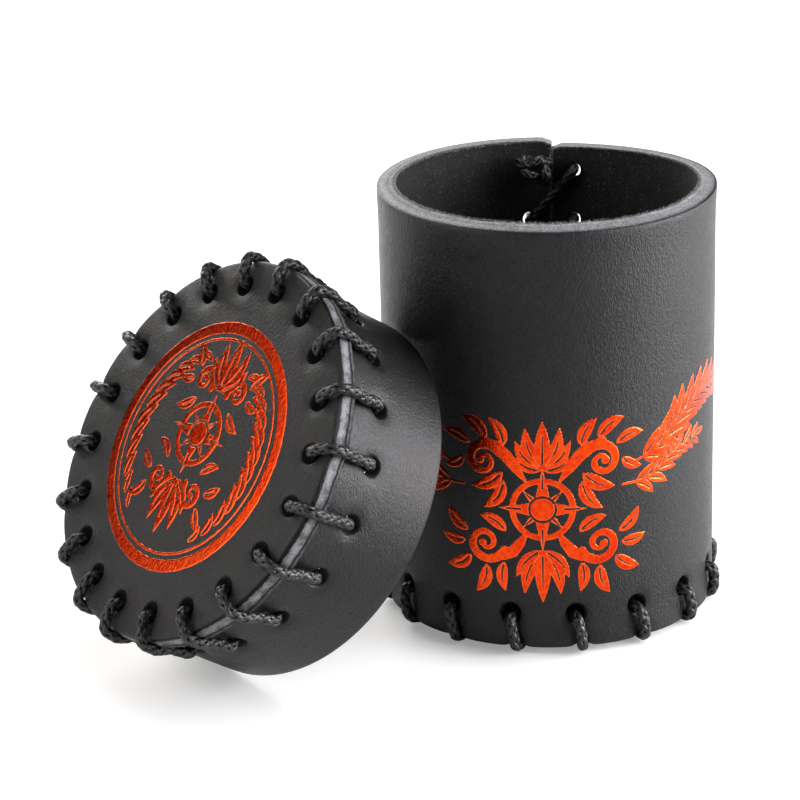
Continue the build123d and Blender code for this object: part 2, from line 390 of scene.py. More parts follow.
def wall_surface(x, y, depth):
    """Where a point of the cup's wall lies: wavy, pulled in by the stitches, its rim cut by hand."""
    angle = radians(SEAM_ANGLE) + x / CUP_RADIUS
    drift = radians(FOOT_SLANT) * CUP_RADIUS * 0.5 * (1 - np.clip(y / FOOT_HOLE_HEIGHT, 0, 1))
    aside = to_nearest(x - drift, FOOT_PITCH / 2, FOOT_PITCH)
    outer = 1 - depth / LEATHER
    wave = 0.10 * np.sin(2 * angle + 0.7) + 0.05 * np.sin(5 * angle + 0.05 * y)
    wave = wave + 0.05 * np.sin(0.09 * y + 3 * angle + 1.1) + 0.25 * ease((y - 96) / 14) ** 2
    groove = 0.35 * bump_at(aside, 1.5) * ease((7.5 - y) / 2) + 0.6 * bump_at(aside, 2.0) * bump_at(y, 3.0)
    swell = 0.25 * (1 - bump_at(aside, 4.0)) * bump_at(y - 1.0, 5.0)
    radius = CUP_RADIUS - depth + wave + swell
    radius = radius - outer * (groove + dimples(x, y, WALL_HOLES, 0.38, 1.4))
    rising = np.clip((y - CUP_HEIGHT + RIM_ZONE) / RIM_ZONE, 0, 1)
    step = RIM_STEP * np.clip(np.sin(angle), 0, 1) * (x > CUP_ROUND * 0.75) * rising
    corner = 0.95 * bump_at(np.minimum(x, CUP_ROUND - x), 1.5) * rising
    lift = 1.25 * bump_at(aside, STITCH_WIDTH) * np.exp(-np.clip(y, 0, None) / 2.6) - corner
    at_top = ease((y - 100) / 10)
    sway = 0.12 * np.sin(3 * angle + 0.5) - 0.8 * np.clip(np.sin(angle), 0, 1)
    slope = outer * (0.6 - 0.55 * np.sin(angle))
    return round_axis(radius, angle, y - step + lift + (sway - slope) * at_top)


def cup_wall(materials):
    """The rolled wall, open at the seam, with the foot's and the seam's punched holes."""
    up = [EDGE_INSET, FOOT_HOLE_HEIGHT] + SEAM_ROWS[::-1] + [CUP_HEIGHT - EDGE_INSET]
    leather_sheet("cup_wall", strip_lines(CUP_ROUND, WALL_HOLES), spaced(up, WALL_CELL), WALL_HOLES,
                  wall_surface, LEATHER, materials, HERE, WALL_CLOSING)


def rim_fibres(material):
    """Short torn fibres that stand from the inner edge of the cup's rim, each a thin spike."""
    rough = np.random.default_rng(5)
    x = rough.uniform(0.3, CUP_ROUND - 0.3, RIM_FIBRES)
    up = CUP_HEIGHT - 0.06 - 0.35 * rough.uniform(0, 1, RIM_FIBRES) ** 2
    deep = LEATHER - 0.4 * rough.uniform(0, 1, RIM_FIBRES) ** 2
    root = wall_surface(x, up, deep)
    angle = radians(SEAM_ANGLE) + x / CUP_RADIUS + rough.normal(0, 0.5, RIM_FIBRES)
    lean = rough.uniform(-0.3, 2.2, RIM_FIBRES)
    away = unit(np.column_stack((-np.cos(angle), -np.sin(angle), lean)))
    tip = root + away * rough.uniform(0.2, 0.85, RIM_FIBRES)[:, None]
    aside = unit(np.cross(away, (0.3, 0.2, 0.93)))
    upward = np.cross(away, aside)
    corners = [root - away * 0.1 + (aside * cos(turn) + upward * sin(turn)) * FIBRE_RADIUS
               for turn in (0, tau / 3, 2 * tau / 3)]
    points = np.stack(corners + [tip], axis=1).reshape(-1, 3)
    faces = [(start + a, start + b, start + c) for start in range(0, len(points), 4)
             for a, b, c in ((0, 1, 3), (1, 2, 3), (2, 0, 3), (2, 1, 0))]
    piece = make_object("cup_rim_fibres", points, faces, [material], HERE)
    finish_piece(piece, HERE, "black_leather")


# --- the base: x runs round the ring of holes, y is the radius ---
BASE_PITCH = tau * BASE_HOLE_RING / FOOT_STITCHES
BASE_FIRST = BASE_PITCH * 0.5 + radians(FOOT_SLANT) * BASE_HOLE_RING
BASE_HOLES = [(BASE_FIRST + BASE_PITCH * number, BASE_HOLE_RING) for number in range(FOOT_STITCHES)]


def base_surface(x, y, depth):
    """Where a point of the base lies; depth 0 is its underside, grooved for the stitches."""
    angle = radians(SEAM_ANGLE) + x / BASE_HOLE_RING
    aside = to_nearest(x, BASE_FIRST, BASE_PITCH) * y / BASE_HOLE_RING
    outward = ease((y - BASE_HOLE_RING - 0.5) / 1.5)
    under = 1 - depth / LEATHER
    groove = 1.35 * bump_at(aside + 0.1 * (y - BASE_HOLE_RING), 1.8) * outward * under
    dome = 0.25 * (1 - (y / BASE_RADIUS) ** 2)
    ripple = 0.08 * np.sin(3 * angle + 0.1 * y) * (y / BASE_RADIUS) ** 2
    sunk = dimples(x, y, BASE_HOLES, 0.25, 1.2) * (under - 0.5) * 2
    return round_axis(y, angle, depth + groove + dome + ripple + sunk)


def cup_base(materials):
    """The round base set inside the foot."""
    lines = disc_lines(BASE_FIRST, BASE_PITCH, FOOT_STITCHES, BASE_HOLE_RING, BASE_RADIUS)
    leather_sheet("cup_base", *lines, BASE_HOLES, base_surface, LEATHER, materials, HERE,
                  BASE_CLOSING, wrap=True)


# --- the lid's top: x runs round the ring of holes, y is the radius ---
LID_PITCH = tau * LID_HOLE_RING / LID_STITCHES
LID_FIRST = radians(LID_FIRST_HOLE) * LID_HOLE_RING
TOP_HOLES = [(LID_FIRST + LID_PITCH * number, LID_HOLE_RING) for number in range(LID_STITCHES)]


def lid_spread(angle):
    """How far the top's edge reaches past its nominal radius; angle in radians."""
    return 0.5 + 1.0 * np.clip(np.cos(angle - radians(LID_SPREAD_ANGLE)), 0, 1) ** 2


def top_surface(x, y, depth):
    """Where a point of the lid's top lies: domed, its edge drawn down and in by the stitches."""
    angle = x / LID_HOLE_RING
    drift = radians(LID_SLANT) * LID_HOLE_RING * 0.4 * np.clip((y - LID_HOLE_RING) / 6, 0, 1)
    aside = to_nearest(x - drift, LID_FIRST, LID_PITCH) * y / LID_HOLE_RING
    outward = ease((y - LID_HOLE_RING - 0.8) / 2.2)
    outer = 1 - depth / LID_LEATHER
    sink = outer * (0.4 * bump_at(aside, 1.6) * outward + dimples(x, y, TOP_HOLES, 0.45, 1.6))
    droop = 0.32 * bump_at(aside, 3.4) * ease((y - 43) / 5.5) + 0.2 * ease((y - 40) / 8.5)
    wave = (0.14 * np.sin(2 * angle + 0.3) + 0.06 * np.sin(5 * angle + y * 0.12)) * (y / 45) ** 2
    tuck = 0.2 * bump_at(aside, 1.9) * ease((y - 45) / 3)
    spread = lid_spread(angle) * ease((y - LID_HOLE_RING) / (LID_RADIUS - LID_HOLE_RING))
    flare = 0.9 * (depth / LID_LEATHER - 0.5) * ease((y - 44) / 4)
    radius = y + spread + flare - tuck * (0.4 + 0.6 * bump_at(depth - 1.0, 2.0))
    dome = 1.4 * (1 - (y / LID_RADIUS) ** 2)
    return round_axis(radius, angle, dome - depth - sink - droop * (1 - 0.5 * depth / LID_LEATHER) + wave)


def lid_top(materials):
    """The round top with its ring of punched holes."""
    lines = disc_lines(LID_FIRST, LID_PITCH, LID_STITCHES, LID_HOLE_RING, LID_RADIUS)
    leather_sheet("lid_top", *lines, TOP_HOLES, top_surface, LID_LEATHER, materials, LID,
                  LID_CLOSING, wrap=True)


# --- the lid's skirt: x runs round it from the seam, y up the lid's axis ---
SKIRT_ROUND = tau * SKIRT_RADIUS
SKIRT_PITCH = SKIRT_ROUND / LID_STITCHES
SKIRT_TURN = (LID_FIRST_HOLE + LID_SLANT - LID_SEAM_ANGLE) % (360 / LID_STITCHES)
SKIRT_FIRST = SKIRT_TURN / 360 * SKIRT_ROUND
SKIRT_HOLES = strip_holes(SKIRT_ROUND, SKIRT_FIRST, LID_STITCHES, SKIRT_HOLES_AT,
                          LID_SEAM_HALF_WIDTH, LID_SEAM_ROWS)


def skirt_surface(x, y, depth):
    """Where a point of the lid's skirt lies: wavy, pressed in where the stitches cross it."""
    angle = radians(LID_SEAM_ANGLE) + x / SKIRT_RADIUS
    above = ease((y - SKIRT_HOLES_AT - 1.5) / 3)
    aside = to_nearest(x, SKIRT_FIRST, SKIRT_PITCH)
    outer = 1 - depth / SKIRT_LEATHER
    wave = 0.08 * np.sin(2 * angle + 1.9) + 0.05 * np.sin(5 * angle - 0.1 * y)
    groove = outer * (0.3 * bump_at(aside, 1.5) * above + dimples(x, y, SKIRT_HOLES, 0.42, 1.5))
    pull = 0.35 * bump_at(aside, 3.5) * ease((y + 12) / 7)
    return round_axis(SKIRT_RADIUS - depth + wave - groove - pull, angle, y)


def lid_skirt(materials):
    """The rolled skirt, open at its own seam."""
    up = [-LID_DEPTH + EDGE_INSET] + LID_SEAM_ROWS[::-1] + [SKIRT_HOLES_AT, SKIRT_TOP - EDGE_INSET]
    leather_sheet("lid_skirt", strip_lines(SKIRT_ROUND, SKIRT_HOLES), spaced(up, SKIRT_CELL), SKIRT_HOLES,
                  skirt_surface, SKIRT_LEATHER, materials, LID, LID_CLOSING)


# --- waxed braided cord ---
BRAID_PITCH = 12.0
BRAID_RING = 1.03
BRAID_WEAVE = 0.12
STRAND_THICK = 0.33
STRAND_WIDE = 0.66
STRAND_SIDES = 6
FRAY = 1.6
CORE_SHARE = 0.8
KNOT_SIZE = 0.85
SEAM_KNOT_SIZE = 1.18
KNOT_OPENING = 0.42
KNOT_STEPS = 14
CORD_STEP = 0.45
FOOT_HIDDEN_STEP = 0.8
LID_HIDDEN_STEP = 0.9


def curve_through(stops, fine, coarse=None, hidden=None):
    """A smooth line through the stops, stepped finely, and more coarsely where it is hidden."""
    stops = np.array(stops)
    ends = np.vstack((2 * stops[0] - stops[1], stops, 2 * stops[-1] - stops[-2]))
    share = np.linspace(0, 1, 12, endpoint=False)[:, None]
    runs = []
    for a, b, c, d in zip(ends, ends[1:], ends[2:], ends[3:]):
        runs.append(0.5 * (2 * b + (c - a) * share + (2 * a - 5 * b + 4 * c - d) * share ** 2
                           + (3 * b - a - 3 * c + d) * share ** 3))
    dense = np.vstack(runs + [stops[-1:]])
    lengths = np.linalg.norm(np.diff(dense, axis=0), axis=1)
    if hidden:
        lengths = lengths * np.where(hidden(dense[:-1]), fine / coarse, 1.0)
    progress = np.concatenate(([0], np.cumsum(lengths)))
    marks = np.linspace(0, progress[-1], int(progress[-1] / fine) + 1)
    return np.column_stack([np.interp(marks, progress, column) for column in dense.T])


def carried_frames(line):
    """Two directions across a line, carried along it without twisting."""
    tangents = unit(np.gradient(line, axis=0))
    normal = np.cross(tangents[0], (0.31, 0.21, 0.93))
    normals = []
    for tangent in tangents:
        normal = unit(normal - tangent * np.dot(normal, tangent))
        normals.append(normal)
    return np.array(normals), np.cross(tangents, normals)


def tube_faces(start, rings, sides):
    """The faces of a tube of rings, with its two ends closed."""
    faces = []
    for ring in range(rings - 1):
        here = start + ring * sides
        for side in range(sides):
            beside = (side + 1) % sides
            faces.append((here + side, here + beside, here + sides + beside, here + sides + side))
    faces.append(tuple(range(start, start + sides)))
    faces.append(tuple(range(start + (rings - 1) * sides, start + rings * sides)))
    return faces


def braided_cord(name, line, material, place, *nodes):
    """A cord of eight strands braided over and under each other round a core, for its CAD nodes."""
    normals, sides = carried_frames(line)
    along = np.concatenate(([0], np.cumsum(np.linalg.norm(np.diff(line, axis=0), axis=1))))
    to_end = np.minimum(along, along[-1] - along)
    splay = 1 + 0.55 * np.clip(1 - to_end / FRAY, 0, 1) ** 2
    corner = np.arange(STRAND_SIDES) * tau / STRAND_SIDES
    tubes, arounds = [], []
    for way in (1, -1):
        for strand in range(4):
            turn = way * along * tau / BRAID_PITCH + strand * tau / 4
            radial = normals * np.cos(turn)[:, None] + sides * np.sin(turn)[:, None]
            ring = (BRAID_RING + way * BRAID_WEAVE * np.cos(4 * along * tau / BRAID_PITCH)) * splay
            middle = line + radial * ring[:, None]
            across = unit(np.cross(np.gradient(middle, axis=0), radial))
            tubes.append([middle + radial * (STRAND_THICK * cos(angle)) + across * (STRAND_WIDE * sin(angle))
                          for angle in corner])
            arounds.append(np.sin(corner) * STRAND_WIDE)
    core = BRAID_RING * CORE_SHARE
    tubes.append([line + (normals * cos(angle) + sides * sin(angle)) * core for angle in corner])
    arounds.append(np.zeros(STRAND_SIDES))
    points = np.vstack([np.stack(tube, axis=1).reshape(-1, 3) for tube in tubes])
    size = len(line) * STRAND_SIDES
    faces = [face for tube in range(len(tubes)) for face in tube_faces(tube * size, len(line), STRAND_SIDES)]
    values = {"along": np.tile(np.repeat(along, STRAND_SIDES), len(tubes)),
              "across": np.concatenate([np.tile(around, len(line)) for around in arounds])}
    piece = make_object(name, points, faces, [material], place, values)
    finish_piece(piece, place, "waxed_cord", *nodes)


def jitter(amount):
    """A small seeded offset."""
    return random.uniform(-amount, amount)


def between(first, second, share):
    """The point a share of the way from one to the other."""
    return np.asarray(first) * (1 - share) + np.asarray(second) * share


def loose_end(tie, tail, *bends):
    """A tied cord's end, each bend given by how far it is out along the tail, aside and down."""
    swing = np.cross((0, 0, 1), tail)
    return [tie + tail * out + swing * aside - (0, 0, down) for out, aside, down in bends]


def knot_stops(centre, outward, arrive, leave, size=KNOT_SIZE):
    """A pulled-tight overhand knot as stops along the cord, from where it arrives to where it leaves."""
    outward = unit(np.asarray(outward))
    run = np.asarray(leave, float) - np.asarray(arrive, float)
    run = unit(run - outward * np.dot(run, outward))
    beside = np.cross(outward, run)
    stops = []
    for step in range(KNOT_STEPS + 1):
        turn = pi + KNOT_OPENING + (tau - 2 * KNOT_OPENING) * step / KNOT_STEPS
        aside = (sin(turn) + 2 * sin(2 * turn)) * size
        ahead = (cos(turn) - 2 * cos(2 * turn)) * size
        inward = sin(3 * turn) * 1.3 * size / KNOT_SIZE
        stops.append(centre + beside * ahead + run * aside - outward * inward)
    return stops


def laced_route(tie, inward, arrive, leave, bends, stitches):
    """A knot's loose end, the knot, the stitches with straight ways between, and back out of the knot."""
    tail = unit(inward)
    stops = loose_end(tie, tail, *bends[:2]) + knot_stops(tie, inward, arrive, leave)
    for number, stitch in enumerate(stitches):
        if number:
            stops += [between(stops[-1], stitch[0], share) for share in (0.35, 0.7)]
        stops += stitch
    return stops + [between(stops[-1], tie, 0.5), tie] + loose_end(tie, tail, *bends[2:])


def within(points, radius):
    """Which points lie inside a radius."""
    return np.hypot(points[:, 0], points[:, 1]) < radius


def foot_stitch(angle):
    """Out of the wall at this angle, down round the foot and up through the base."""
    wobble, lean, pull = jitter(0.5), FOOT_SLANT + jitter(0.5), jitter(0.12)
    hole, turned = FOOT_HOLE_HEIGHT, angle + FOOT_SLANT
    stops = [(BORE_RADIUS - 1.0, angle - 0.8, hole - 0.2),
             (BORE_RADIUS + 1.6, angle, hole - 0.7),
             (CUP_RADIUS - 0.7, angle, hole - 0.85),
             (CUP_RADIUS + 0.95, angle + 0.1 * lean, hole - 1.5),
             (CUP_RADIUS + 1.35 + pull, angle + 0.25 * lean + wobble * 0.4, 5.4),
             (CUP_RADIUS + 1.3 + pull, angle + 0.42 * lean + wobble * 0.6, 2.9),
             (CUP_RADIUS + 0.75, angle + 0.5 * lean + wobble * 0.5, 0.85),
             (CUP_RADIUS - 1.0, angle + 0.58 * lean, 0.0),
             (CUP_RADIUS - 5.0, angle + 0.8 * lean, 0.02),
             (BASE_HOLE_RING + 2.3, angle + 0.97 * FOOT_SLANT, 0.1),
             (BASE_HOLE_RING + 0.5, turned, 1.4),
             (BASE_HOLE_RING + 0.15, turned, LEATHER - 0.6),
             (BASE_HOLE_RING + 1.2, turned + 1.2, LEATHER + CORD_LIFT)]
    return [polar(*stop) for stop in stops]


def foot_lace(material):
    """The cord that laces the wall to the base, all round the foot."""
    pitch = 360 / FOOT_STITCHES
    first = SEAM_ANGLE + pitch / 2
    corner = polar(BORE_RADIUS - CORD_LIFT, first, FOOT_HOLE_HEIGHT)
    last = polar(BASE_HOLE_RING, first - pitch + FOOT_SLANT, LEATHER + CORD_LIFT)
    tie = between(corner, last, 0.5) * (0.965, 0.965, 1) + (0, 0, 2.2)
    inward = np.array((-tie[0], -tie[1], 18.0))
    bends = (9, 3.5, 4), (5, 2.2, 0), (3.5, -2.5, 0), (8, -4, 3)
    stitches = [foot_stitch(first + pitch * number) for number in range(FOOT_STITCHES)]
    stops = laced_route(tie, inward, last, corner, bends, stitches)

    def hidden(points):
        """Out of sight inside the wall or the base."""
        return within(points, CUP_RADIUS - 0.5) & (points[:, 2] > 0.6)

    line = curve_through(stops, CORD_STEP, FOOT_HIDDEN_STEP, hidden)
    braided_cord("cup_base_lacing", line, material, HERE, "cup_base_lace", "cup_base_knot")


def seam_stops(outer, inner, centre, half_width, heights):
    """Lacing that crosses level outside a seam and slants down inside it, a knot at each end."""
    spread = half_width / outer * 180 / pi
    pulled = (half_width - 0.8) / outer * 180 / pi
    left, right = centre + spread, centre - spread
    inside = inner - CORD_LIFT
    slant = (heights[1] - heights[0]) / 2
    body = []
    for height in heights:
        lifted = height + jitter(0.2)
        row = [(inside, left, height), (inner + 1.5, centre + pulled, height),
               (outer - 0.7, centre + pulled, height), (outer + 0.85, centre + pulled * 0.86, height),
               (outer + 1.4, centre + pulled * 0.45, lifted), (outer + 1.4, centre - pulled * 0.45, lifted),
               (outer + 0.85, centre - pulled * 0.86, height), (outer - 0.7, centre - pulled, height),
               (inner + 1.5, centre - pulled, height), (inside, right, height),
               (inside - 0.9, centre, height + slant)]
        body += [polar(*stop) for stop in row]
    body.pop()
    stops = []
    for height, share, sign in ((heights[0] + 1.2, 0.18, 1), (heights[-1] - 1.6, 0.76, -1)):
        side = left * (1 - share) + right * share
        tie = polar(inside - 2.6, side, height)
        inward = polar(-1, side, 0)
        along = polar(1, side + 90 * sign, 0.35 * sign)
        near = body[0] if sign > 0 else body[-1]
        tail = [tie + along * 3.4 + inward * 0.9, tie + along * 4.8 - inward * 0.4 + (0, 0, 0.9)]
        knotted = knot_stops(tie, inward, near, tie + along * 6, SEAM_KNOT_SIZE)
        stops.append(tail[::-1] + knotted[::-1] if sign > 0 else knotted + tail)
    return stops[0] + body + stops[1]


def seam_lace(body, seam, material, place):
    """One seam's lacing with its two knots."""
    line = curve_through(seam_stops(*seam), CORD_STEP)
    braided_cord(body + "_seam_lacing", line, material, place, body + "_seam_lace", body + "_seam_knots")


def lid_stitch(angle):
    """Up through the top at this angle, over its edge and in through the skirt."""
    wobble, lift = jitter(0.45), jitter(0.12)
    edge, reached = LID_RADIUS + lid_spread(radians(angle)), angle + LID_SLANT
    stops = [(LID_HOLE_RING + 0.2, angle - 0.4, -LID_LEATHER - 1.0),
             (LID_HOLE_RING + 0.7, angle, -LID_LEATHER + 1.2),
             (LID_HOLE_RING + 0.85, angle, -0.9),
             (LID_HOLE_RING + 1.6, angle + 0.1, 0.75),
             (LID_HOLE_RING + 3.4, angle + 0.5 + wobble * 0.3, 1.25 + lift),
             (edge - 1.3, angle + 1.0 + wobble * 0.6, 1.0 + lift),
             (edge + 0.55, angle + 1.3 + wobble * 0.7, 0.1),
             (edge + 1.1, angle + 1.6 + wobble * 0.7, -2.0),
             (edge + 1.05, angle + 1.9 + wobble * 0.6, -4.6),
             (SKIRT_RADIUS + 1.45, angle + 2.2 + wobble * 0.4, -8.2),
             (SKIRT_RADIUS + 1.2, reached, -11.8),
             (SKIRT_RADIUS + 0.75, reached, -13.8),
             (SKIRT_RADIUS - 0.9, reached, SKIRT_HOLES_AT + 0.85),
             (SKIRT_BORE + 1.6, reached, SKIRT_HOLES_AT + 0.4),
             (SKIRT_BORE - 0.5, reached, SKIRT_HOLES_AT - 0.4),
             (SKIRT_BORE - 1.3, reached + 1.6, SKIRT_HOLES_AT + 0.4)]
    return [polar(*stop) for stop in stops]


def lid_edge_lace(material):
    """The cord that laces the lid's top to its skirt, all round the edge."""
    pitch = 360 / LID_STITCHES
    first = polar(LID_HOLE_RING, LID_FIRST_HOLE, -LID_LEATHER - CORD_LIFT)
    last = polar(SKIRT_BORE - CORD_LIFT, LID_FIRST_HOLE - pitch + LID_SLANT, SKIRT_HOLES_AT)
    tie = between(first, last, 0.5) * (0.94, 0.94, 1)
    inward = np.array((-tie[0], -tie[1], 0.0))
    bends = (7, 3, 7), (4, 1.5, 2), (3, -2, 3), (6, -3, 8)
    stitches = [lid_stitch(LID_FIRST_HOLE + pitch * number) for number in range(LID_STITCHES)]
    stops = laced_route(tie, inward, last, first, bends, stitches)

    def hidden(points):
        """Out of sight inside the skirt or under the top."""
        return within(points, SKIRT_RADIUS - 0.6) & (points[:, 2] < -0.8)

    line = curve_through(stops, CORD_STEP, LID_HIDDEN_STEP, hidden)
    braided_cord("lid_edge_lacing", line, material, LID, "lid_lace", "lid_lace_knot")


# --- foil: ornaments drawn as a field, above 0 inside and below 0 outside, in millimetres ---
FOIL_CELL = 0.262
FOIL_LIFT = 0.06
FOIL_SUNK = 0.015
FOIL_THICK = 0.12
FAR_OUTSIDE = -3.0
VEIN = 0.17
STEM_STEP = 0.5
FROND_OPENING = 36
FROND_TAPER = 0.45


def towards(angle):
    """The flat direction at an angle in degrees."""
    return polar(1, angle, 0)[:2]


def winding(centre, reach, turn):
    """Points round a centre, each at its own reach and its own turn in radians."""
    return np.column_stack((centre[0] + reach * np.cos(turn), centre[1] + reach * np.sin(turn)))


class Ornament:
    """A flat ornament, the same on the left and right, built by adding strokes and cutting them out."""

    def __init__(self, low, high):
        self.lines = [np.arange(start, end + FOIL_CELL, FOIL_CELL) for start, end in zip(low, high)]
        self.field = np.full([len(lines) for lines in self.lines], FAR_OUTSIDE)

    def one_stroke(self, line, widths, cutting):
        """Adds or cuts out a line drawn with a pen of changing half width."""
        margin = max(widths) + 0.8
        ends = np.column_stack((line.min(0) - margin, line.max(0) + margin))
        place = tuple(slice(*np.searchsorted(lines, pair)) for lines, pair in zip(self.lines, ends))
        u, v = np.meshgrid(self.lines[0][place[0]], self.lines[1][place[1]], indexing="ij")
        best = np.full(u.shape, FAR_OUTSIDE)
        for start, end, thick, thin in zip(line, line[1:], widths, widths[1:]):
            run = end - start
            share = ((u - start[0]) * run[0] + (v - start[1]) * run[1]) / max(run @ run, 1e-9)
            share = np.clip(share, 0, 1)
            away = np.hypot(u - start[0] - share * run[0], v - start[1] - share * run[1])
            best = np.maximum(best, thick + (thin - thick) * share - away)
        before = self.field[place]
        self.field[place] = np.minimum(before, -best) if cutting else np.maximum(before, best)

    def stroke(self, line, widths, cutting=False):
        """A stroke and, unless it runs along the middle, its mirror image."""
        line = np.array(line, float)
        widths = np.broadcast_to(np.asarray(widths, float), (len(line),))
        self.one_stroke(line, widths, cutting)
        if np.abs(line[:, 0]).max() > 0.01:
            self.one_stroke(line * (-1, 1), widths, cutting)

    def leaf(self, base, tip, width, bend):
        """A pointed leaf from base to tip, bowed sideways, with a vein cut along it."""
        base, tip = np.array(base, float), np.array(tip, float)
        share = np.linspace(0, 1, 11)[:, None]
        side = np.array((base[1] - tip[1], tip[0] - base[0])) * bend
        line = base + (tip - base) * share + side * np.sin(pi * share)
        widths = width * np.sin(pi * np.clip(share[:, 0], 0.02, 0.985) ** 0.8) ** 0.85
        self.stroke(line, widths)
        self.stroke(line[1:8], np.linspace(VEIN, VEIN * 0.5, 7), cutting=True)

    def leaves(self, *table):
        """Leaves, each given as its base, its tip, its half width and its bow."""
        for leaf in table:
            self.leaf(leaf[:2], leaf[2:4], *leaf[4:])

    def spiral(self, centre, radius, start, turns, width, way):
        """A volute that winds in to a round eye."""
        share = np.linspace(0, 1, 34)
        turn = radians(start) + way * tau * turns * share
        line = winding(centre, radius * (1 - 0.83 * share ** 0.8), turn)
        self.stroke(line, width * (1 - 0.6 * share))
        self.stroke(line[-1:].repeat(2, 0) + ((0, 0), (0.01, 0)), width * 0.85)

    def ring(self, centre, radius, width, cutting=False):
        """A ring of the given half width."""
        self.stroke(winding(centre, radius, np.linspace(0, tau, 41)), width, cutting)

    def sun_star(self, centre, long_ray):
        """A ring, split rays long and short in turn, and a thin ring cut out of them."""
        self.ring(centre, 7.6, 0.85)
        sizes = [(long_ray, 2.5), (7.4, 1.8)] * 4
        rays = [(towards(90 + 45 * number), *size) for number, size in enumerate(sizes)]
        for away, length, width in rays:
            self.stroke([centre, centre + away * length], [width, 0.02])
        for away, length, width in rays:
            start, end = centre + away * width * 2.2, centre + away * length * 0.8
            self.stroke([start, end], [VEIN, 0.06], cutting=True)
        self.ring(centre, 3.3, 0.2, cutting=True)

    def palmette(self, height, *leaves):
        """Leaves fanning from a place on the middle: angle from upright, length and half width of each."""
        base = np.array((0.0, height))
        for angle, length, width in leaves:
            away = towards(90 - angle)
            bow = 0.10 * np.sign(round(away[0] * away[1], 3))
            self.leaf(base + away * 0.8, base + away * length, width, -bow)

    def frond(self, stem, leaf_length, leaf_width, spacing):
        """A stem with leaves on both its sides, shorter towards its tip, and one leaf at its end."""
        fine = curve_through(np.column_stack((stem, np.zeros(len(stem)))), STEM_STEP)[:, :2]
        run = np.gradient(fine, axis=0)
        heading = np.degrees(np.arctan2(run[:, 1], run[:, 0]))
        step = int(spacing / STEM_STEP)
        for index in range(step, len(fine) - 1, step):
            share = index / len(fine)
            length = leaf_length * (1 - FROND_TAPER * share) * (0.62 + 0.38 * ease(share * 5))
            for side in (1, -1):
                away = towards(heading[index] + side * FROND_OPENING)
                start = fine[index] + away * 0.55
                self.leaf(start, start + away * length, leaf_width * (1 - 0.35 * share), -0.09 * side)
        self.stroke(fine, np.linspace(0.42, 0.16, len(fine)))
        tip = fine[-1] + unit(run[-1]) * leaf_length * (1 - FROND_TAPER)
        self.leaf(fine[-1], tip, leaf_width * 0.7, 0.0)


def outline_faces(ornament):
    """The ornament cut along its outline: its points, how far inside each lies, and its faces."""
    field, (across, up) = ornament.field, ornament.lines
    names, points, heights, faces = {}, [], [], []

    def spot_at(place):
        """Where a place of the grid lies."""
        return across[place[0]], up[place[1]]

    def named(key, spot, value):
        """The number of a point, made once."""
        if key not in names:
            names[key] = len(points)
            points.append(spot)
            heights.append(value)
        return names[key]

    inside = field > 0
    touched = inside[:-1, :-1] | inside[1:, :-1] | inside[1:, 1:] | inside[:-1, 1:]
    for i, j in np.argwhere(touched):
        corners = ((i, j), (i + 1, j), (i + 1, j + 1), (i, j + 1))
        face = []
        for here, after in zip(corners, corners[1:] + corners[:1]):
            first, second = field[here], field[after]
            if first > 0:
                face.append(named(here, spot_at(here), first))
            if (first > 0) != (second > 0):
                share = min(max(first / (first - second), 0.04), 0.96)
                low, high = min(here, after), max(here, after)
                share = share if low == here else 1 - share
                face.append(named(low + high, between(spot_at(low), spot_at(high), share), 0.0))
        if len(face) > 2:
            faces.append(face)
    return np.array(points), np.array(heights), faces


def stamped_foil(name, ornament, surface, material, place):
    """Foil pressed on the leather: surface(u, v, depth) gives a point's place."""
    flat, heights, faces = outline_faces(ornament)
    points = surface(*flat.T, FOIL_SUNK - FOIL_LIFT * ease(heights / 0.28))
    edge = {"edge": 1 - ease(heights / 0.5)}
    piece = make_object(name, points, faces, [material], place, edge)
    backing = piece.modifiers.new("backing", "SOLIDIFY")
    backing.thickness = FOIL_THICK * METRES
    backing.offset = -1.0
    finish_piece(piece, place, "red_foil")


